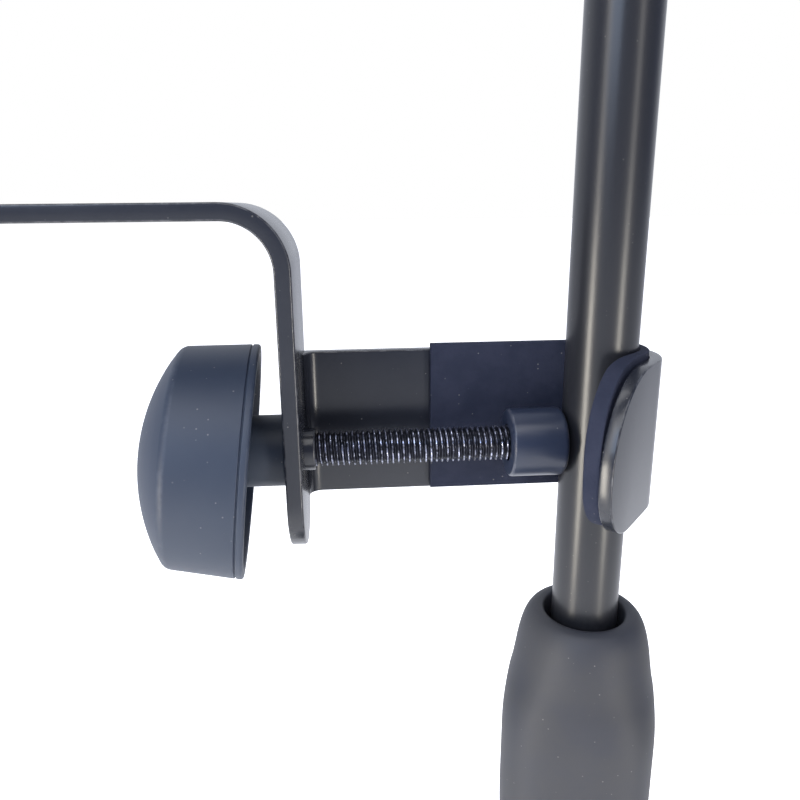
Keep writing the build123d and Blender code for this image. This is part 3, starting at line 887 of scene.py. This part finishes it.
cap_left, cap_right, cap_r = cap_box[0].x, cap_box[1].x, cap_box[1].y
cap_bore, cap_bore_end = 4.1 * MM, cap_right - 4 * MM
cap_inside = [
    (cap_bore_end, 0.0, 0.0),
    (cap_bore_end, cap_bore, 0.0),
    (cap_left + 0.3 * MM, cap_bore, 0.0),
]
cap_outside = rounded(
    [
        (cap_left, cap_bore + 0.2 * MM, 0),
        (cap_left, cap_r, 0.7 * MM),
        (cap_right, cap_r, 1.3 * MM),
        (cap_right, 0.0, 0),
    ],
    6,
)
pressure_cap = lathe(
    "pressure_cap_shell", cap_inside + cap_outside, FINISH["cap_plastic"], "X", on_screw,
    sharp=MOULDED_ANGLE,
)
stands_for(pressure_cap, "pressure_cap", "cap")


def geometry_tree(name, inputs):
    """An empty geometry node tree with named size inputs and a material input."""
    tree = bpy.data.node_groups.new(name, "GeometryNodeTree")
    kinds = {float: "NodeSocketFloat", int: "NodeSocketInt", type(None): "NodeSocketObject"}
    tree.interface.new_socket("Geometry", in_out="INPUT", socket_type="NodeSocketGeometry")
    for label, value in inputs:
        socket = tree.interface.new_socket(label, in_out="INPUT", socket_type=kinds[type(value)])
        if value is not None:
            socket.default_value = value
    tree.interface.new_socket("Material", in_out="INPUT", socket_type="NodeSocketMaterial")
    tree.interface.new_socket("Geometry", in_out="OUTPUT", socket_type="NodeSocketGeometry")
    return tree, tree.nodes.new("NodeGroupInput").outputs, tree.nodes.new("NodeGroupOutput").inputs


def close_tree(tree, given, out, geometry):
    """Ends a tree in Realize Instances and Set Material."""
    real = tree.nodes.new("GeometryNodeRealizeInstances")
    paint = tree.nodes.new("GeometryNodeSetMaterial")
    tree.links.new(geometry, real.inputs["Geometry"])
    tree.links.new(real.outputs["Geometry"], paint.inputs["Geometry"])
    tree.links.new(given["Material"], paint.inputs["Material"])
    tree.links.new(paint.outputs["Geometry"], out["Geometry"])


def grow(name, tree, values, material, sharp_angle=SMOOTH_ANGLE):
    """Runs a geometry tree on an empty mesh and keeps the result as a plain mesh."""
    piece = collect(bpy.data.objects.new(name, bpy.data.meshes.new(name)))
    modifier = piece.modifiers.new("grow", "NODES")
    modifier.node_group = tree
    for item in tree.interface.items_tree:
        if item.in_out != "INPUT" or item.socket_type == "NodeSocketGeometry":
            continue
        modifier[item.identifier] = material if item.name == "Material" else values[item.name]
    return baked(piece, sharp_angle)


def thread_tree():
    """A round rod with a right-handed thread, made from a grid.

    The grid is rolled into a tube whose radius follows the helix and closes at both ends.
    """
    tree, given, out = geometry_tree(
        "screw_thread",
        [
            ("Crest Radius", 0.004), ("Thread Depth", 0.0007), ("Pitch", 0.00125),
            ("Start", 0.0), ("Length", 0.05), ("Around", THREAD_AROUND), ("Along", 600),
        ],
    )
    grid = tree.nodes.new("GeometryNodeMeshGrid")
    grid.inputs["Size X"].default_value = 1.0
    grid.inputs["Size Y"].default_value = 1.0
    tree.links.new(maths(tree, "ADD", given["Around"], 1.0), grid.inputs["Vertices X"])
    tree.links.new(given["Along"], grid.inputs["Vertices Y"])
    parts = tree.nodes.new("ShaderNodeSeparateXYZ")
    tree.links.new(tree.nodes.new("GeometryNodeInputPosition").outputs[0], parts.inputs[0])
    turn = maths(tree, "ADD", parts.outputs["X"], 0.5)
    share = maths(tree, "ADD", parts.outputs["Y"], 0.5)
    angle = maths(tree, "MULTIPLY", turn, 2 * math.pi)
    along = maths(tree, "MULTIPLY", share, given["Length"])
    turns = maths(tree, "DIVIDE", along, given["Pitch"])
    phase = maths(tree, "FRACT", maths(tree, "SUBTRACT", turns, turn))
    swing = maths(tree, "SUBTRACT", maths(tree, "MULTIPLY", phase, 2.0), 1.0)
    ridge = maths(tree, "ABSOLUTE", swing)
    flank = tree.nodes.new("ShaderNodeMapRange")
    flank.inputs["From Min"].default_value = 0.14
    flank.inputs["From Max"].default_value = 0.88
    tree.links.new(ridge, flank.inputs["Value"])
    low = maths(tree, "SUBTRACT", 1.0, flank.outputs["Result"])
    groove = maths(tree, "MULTIPLY", low, given["Thread Depth"])
    helix = maths(tree, "SUBTRACT", given["Crest Radius"], groove)
    edge = maths(tree, "MINIMUM", along, maths(tree, "SUBTRACT", given["Length"], along))
    root = maths(tree, "SUBTRACT", given["Crest Radius"], given["Thread Depth"])
    open_radius = maths(tree, "MINIMUM", helix, maths(tree, "ADD", root, edge))
    radius = maths(tree, "MULTIPLY", open_radius, maths(tree, "GREATER_THAN", edge, POLE_R))
    join = tree.nodes.new("ShaderNodeCombineXYZ")
    tree.links.new(maths(tree, "ADD", along, given["Start"]), join.inputs["X"])
    tree.links.new(maths(tree, "MULTIPLY", radius, maths(tree, "COSINE", angle)), join.inputs["Y"])
    tree.links.new(maths(tree, "MULTIPLY", radius, maths(tree, "SINE", angle)), join.inputs["Z"])
    place = tree.nodes.new("GeometryNodeSetPosition")
    tree.links.new(join.outputs[0], place.inputs["Position"])
    # the crests are stored as the rim value; the rod's finish paints them bright bluish, a painted
    # highlight along with rubbed steel
    crest = tree.nodes.new("GeometryNodeStoreNamedAttribute")
    crest.data_type = "FLOAT"
    crest.domain = "POINT"
    crest.inputs["Name"].default_value = "rim"
    tree.links.new(grid.outputs["Mesh"], crest.inputs["Geometry"])
    tree.links.new(maths(tree, "SUBTRACT", 1.0, low), crest.inputs["Value"])
    tree.links.new(crest.outputs["Geometry"], place.inputs["Geometry"])
    join_ends = tree.nodes.new("GeometryNodeMergeByDistance")
    join_ends.inputs["Distance"].default_value = 1e-6
    tree.links.new(place.outputs["Geometry"], join_ends.inputs["Geometry"])
    close_tree(tree, given, out, join_ends.outputs["Geometry"])
    return tree


rod_length = rod_box[1].x - rod_box[0].x
screw_rod = grow(
    "screw_rod_thread",
    thread_tree(),
    {
        "Crest Radius": rod_box[1].y,
        "Thread Depth": THREAD_DEPTH,
        "Pitch": THREAD_PITCH,
        "Start": rod_box[0].x,
        "Length": rod_length,
        "Around": THREAD_AROUND,
        "Along": int(rod_length / THREAD_PITCH * THREAD_ROWS_A_TURN),
    },
    FINISH["thread_steel"],
    THREAD_ANGLE,
)
screw_rod.data.transform(Matrix.Translation(on_screw))
stands_for(screw_rod, "screw_rod", "screw")


# ------------------------------------------------------------------ rivets of the desk
def rivet_tree():
    """One rivet set out in rows and columns."""
    tree, given, out = geometry_tree(
        "rivet_rows",
        [("Rivet", None), ("Columns", 2), ("Rows", 2), ("Column Gap", 0.05), ("Row Gap", 0.05)],
    )
    grid = tree.nodes.new("GeometryNodeMeshGrid")
    for axis, count, gap in (("X", "Columns", "Column Gap"), ("Y", "Rows", "Row Gap")):
        tree.links.new(given[count], grid.inputs["Vertices " + axis])
        length = maths(tree, "MULTIPLY", maths(tree, "SUBTRACT", given[count], 1.0), given[gap])
        tree.links.new(length, grid.inputs["Size " + axis])
    spots = tree.nodes.new("GeometryNodeMeshToPoints")
    tree.links.new(grid.outputs["Mesh"], spots.inputs["Mesh"])
    unit = tree.nodes.new("GeometryNodeObjectInfo")
    tree.links.new(given["Rivet"], unit.inputs["Object"])
    rows = tree.nodes.new("GeometryNodeInstanceOnPoints")
    tree.links.new(spots.outputs["Points"], rows.inputs["Points"])
    tree.links.new(unit.outputs["Geometry"], rows.inputs["Instance"])
    close_tree(tree, given, out, rows.outputs["Instances"])
    return tree


DESK_LEAN = math.radians(20.0)
DESK_PIVOT_Z = 1.140
desk_turn = Matrix.Rotation(math.pi / 2 - DESK_LEAN, 4, "X")
desk_frame = Matrix.Translation((0, 0, DESK_PIVOT_Z)) @ desk_turn
rivet_rows = rivet_tree()


def rivets(name, node, back, face, columns, column_gap, rows, row_gap, middle):
    """Round-headed rivets through the sheets between back and face, in the desk's own frame."""
    head_r, back_head_r, head_high, shank_r = 3.8 * MM, 3.2 * MM, 1.4 * MM, 2.0 * MM
    under_head = 0.05 * MM
    round_head = (0.3, 0.6, 0.9, 1.2, 1.45)
    profile = [(back - head_high, 0.0, 0.0)]
    for a in round_head:
        profile.append((back - head_high * math.cos(a), back_head_r * math.sin(a), 0.0))
    profile.append((back, back_head_r - under_head, 0.0))
    profile.append((back, shank_r, 0.0))
    profile.append((face, shank_r, 0.0))
    profile.append((face, head_r - under_head, 0.0))
    for a in reversed(round_head):
        profile.append((face + head_high * math.cos(a), head_r * math.sin(a), 0.0))
    profile.append((face + head_high, 0.0, 0.0))
    unit = lathe("rivet_unit", profile, FINISH["zinc_steel"], steps=40)
    values = {
        "Rivet": unit, "Columns": columns, "Rows": rows, "Column Gap": column_gap,
        "Row Gap": row_gap,
    }
    piece = grow(name, rivet_rows, values, FINISH["zinc_steel"])
    bpy.data.objects.remove(unit)
    piece.data.transform(desk_frame @ Matrix.Translation((0, middle, 0)))
    stands_for(piece, node, "desk")


rivets(
    "desk_rivet_heads", "desk_rivets", back=19.0 * MM, face=23.2 * MM,
    columns=2, column_gap=44 * MM, rows=2, row_gap=52 * MM, middle=0.0,
)
rivets(
    "shelf_rivet_heads", "shelf_rivets", back=22.0 * MM, face=24.4 * MM,
    columns=5, column_gap=100 * MM, rows=1, row_gap=0.0, middle=-95 * MM,
)

# ------------------------------------------------------------------ clutch grip
grip_low, grip_high = grip_box[0].z, grip_box[1].z
grip_max = grip_box[1].x
GRIP_FACE = math.radians(-110.0)
GRIP_POWER = 3.0
FLATS_FADE = 27 * MM
FLATS_END = 6 * MM
INSIDE_R = 17.2 * MM
INSIDE_DOWN = 22 * MM


def grip_shape(angle, along, radius):
    """Four soft flats on the grip's barrel that fade out in its shoulder; the bore stays round."""
    turn = angle - GRIP_FACE
    size = abs(math.cos(turn)) ** GRIP_POWER + abs(math.sin(turn)) ** GRIP_POWER
    square = size ** (-1 / GRIP_POWER)
    amount = 1 - smooth_step(grip_high - FLATS_FADE, grip_high - FLATS_END, along)
    if radius < INSIDE_R and along < grip_high - INSIDE_DOWN:
        amount = 0.0
    return radius * (1 - amount + amount * square)


# the barrel's outline from its foot up: height and radius in millimetres
grip_outside = [
    (0.0, 17.6),
    (8.0, 18.6),
    (22.0, 19.15),
    (36.0, 19.15),
    (45.0, 19.1),
    (50.0, 18.8),
    (55.0, 18.2),
    (59.0, 17.4),
    (63.0, 16.75),
    (66.0, 16.3),
    (69.0, 15.7),
    (71.5, 15.0),
    (73.5, 14.1),
    (74.8, 13.0),
    (75.4, 11.7),
    (75.4, 10.7),
    (75.1, 10.1),
    (74.4, 9.8),
]


def smooth_line(knots, steps):
    """A smooth curve through knots, with steps points for each stretch."""
    line = []
    for i in range(len(knots) - 1):
        p0 = Vector(knots[max(0, i - 1)])
        p1, p2 = Vector(knots[i]), Vector(knots[i + 1])
        p3 = Vector(knots[min(len(knots) - 1, i + 2)])
        slope = p2 - p0
        bend = 2 * p0 - 5 * p1 + 4 * p2 - p3
        twist = 3 * p1 - p0 - 3 * p2 + p3
        for k in range(steps):
            t = k / steps
            point = 0.5 * (2 * p1 + slope * t + bend * t**2 + twist * t**3)
            line.append((point.x, point.y))
    line.append(knots[-1])
    return line


grip_profile = [(grip_low, 17.05 * MM, 0.0)]
for height, radius in smooth_line(grip_outside, 6):
    along = min(grip_high, grip_low + height * MM)
    grip_profile.append((along, min(grip_max, radius * MM), 0.0))
grip_profile += [
    (grip_high - 6.6 * MM, 9.85 * MM, 0.0),
    (grip_high - 6.6 * MM, 13.62 * MM, 0.0),
    (grip_high - 16.5 * MM, 13.64 * MM, 0.0),
    (grip_high - 22.5 * MM, 17.04 * MM, 0.0),
]
clutch_grip = lathe(
    "clutch_grip_sleeve", grip_profile, FINISH["grip_soft"], steps=192, shape=grip_shape,
    sharp=GRIP_ANGLE,
)
stands_for(clutch_grip, "clutch_grip", "clutch_twist")

# ------------------------------------------------------------------ floor, light and camera
FLOOR_REACH = 40.0
FLOOR_GLOW = 0.4
FLOOR_GLOW_SEEN = 0.6  # added where the camera sees the floor itself
floor_mesh = bpy.data.meshes.new("studio_floor")
sides = ((-1, -1), (1, -1), (1, 1), (-1, 1))
floor_points = [(FLOOR_REACH * x, FLOOR_REACH * y, 0) for x, y in sides]
floor_mesh.from_pydata(floor_points, [], [(0, 1, 2, 3)])
floor = collect(bpy.data.objects.new("studio_floor", floor_mesh))
paper = bpy.data.materials.new("studio_paper")
paper.use_nodes = True
paper_tree = paper.node_tree
paper_look = paper_tree.nodes["Principled BSDF"].inputs
paper_look["Base Color"].default_value = (0.92, 0.92, 0.92, 1)
paper_look["Roughness"].default_value = 0.95
paper_look["Emission Color"].default_value = (1, 1, 1, 1)
paper_seen = paper_tree.nodes.new("ShaderNodeLightPath").outputs["Is Camera Ray"]
extra_glow = maths(paper_tree, "MULTIPLY", paper_seen, FLOOR_GLOW_SEEN)
floor_glow = maths(paper_tree, "ADD", extra_glow, FLOOR_GLOW)
paper_tree.links.new(floor_glow, paper_look["Emission Strength"])
floor_mesh.materials.append(paper)


def soft_box(name, place, size, power, colour, target):
    """A rectangular soft light aimed at a point."""
    light = bpy.data.lights.new(name, "AREA")
    light.shape = "RECTANGLE"
    light.size, light.size_y = size
    light.energy = power
    light.color = colour
    lamp = collect(bpy.data.objects.new(name, light))
    lamp.location = place
    lamp.rotation_euler = (Vector(place) - Vector(target)).to_track_quat("Z", "Y").to_euler()


stand_middle = (0, 0, 0.6)
clamp_spot = (-0.03, 0.0, screw_z)
for name, place, size, power, colour, target in (
    ("top_softbox", (-0.4, -0.6, 3.0), (2.6, 2.6), 66.0, (1.0, 0.99, 0.97), stand_middle),
    ("left_strip", (-1.05, -0.60, 1.0), (0.26, 1.5), 4.5, (1.0, 0.95, 0.88), clamp_spot),
    ("right_strip", (0.66, -1.05, 1.0), (0.28, 1.5), 4.0, (1.0, 0.96, 0.90), clamp_spot),
    ("left_low", (-1.00, -0.56, 0.40), (0.20, 0.66), 7.5, (1.0, 0.93, 0.80), clamp_spot),
    ("right_low", (0.62, -1.00, 0.40), (0.22, 0.66), 5.0, (1.0, 0.94, 0.82), clamp_spot),
    ("sky_window", (-0.85, -1.0, 1.45), (0.8, 0.8), 9.0, (0.62, 0.76, 1.0), clamp_spot),
):
    soft_box(name, place, size, power, colour, target)

# the air looks white, and what the pieces reflect of it is dark blue in front and pale behind
world = bpy.data.worlds.new("studio_air")
bpy.context.scene.world = world
world.use_nodes = True
air = world.node_tree
air.nodes.clear()
direction = air.nodes.new("ShaderNodeTexCoord").outputs["Generated"]
parts = air.nodes.new("ShaderNodeSeparateXYZ")
air.links.new(direction, parts.inputs[0])
behind = span(air, parts.outputs["Y"], -0.05, 0.65)
tint = blend_colour(air, behind, (0.125, 0.16, 0.28), (0.86, 0.90, 1.0))
seen = air.nodes.new("ShaderNodeLightPath").outputs["Is Camera Ray"]
shown = blend_colour(air, seen, tint, (1.0, 1.0, 1.0))
glow = air.nodes.new("ShaderNodeBackground")
air.links.new(shown, glow.inputs["Color"])
air.links.new(glow.outputs[0], air.nodes.new("ShaderNodeOutputWorld").inputs["Surface"])

# the focal length is 701/800 of the frame's width
view = bpy.data.cameras.new("view")
view.sensor_width = 36.0
view.lens = view.sensor_width * 701.0 / 800.0
view.clip_start = 0.01
view.clip_end = 100.0
camera = collect(bpy.data.objects.new("view", view))
camera.location = (-56.8 * MM, -152.3 * MM, screw_z + 53.3 * MM)
tilt_down = math.radians(15.5)
turn_right = math.radians(4.1)
roll = math.radians(-0.6)
aim = Euler((math.pi / 2 - tilt_down, 0, -turn_right)).to_matrix() @ Matrix.Rotation(roll, 3, "Z")
camera.rotation_euler = aim.to_euler()
bpy.context.scene.camera = camera
bpy.context.scene.view_settings.view_transform = "Standard"
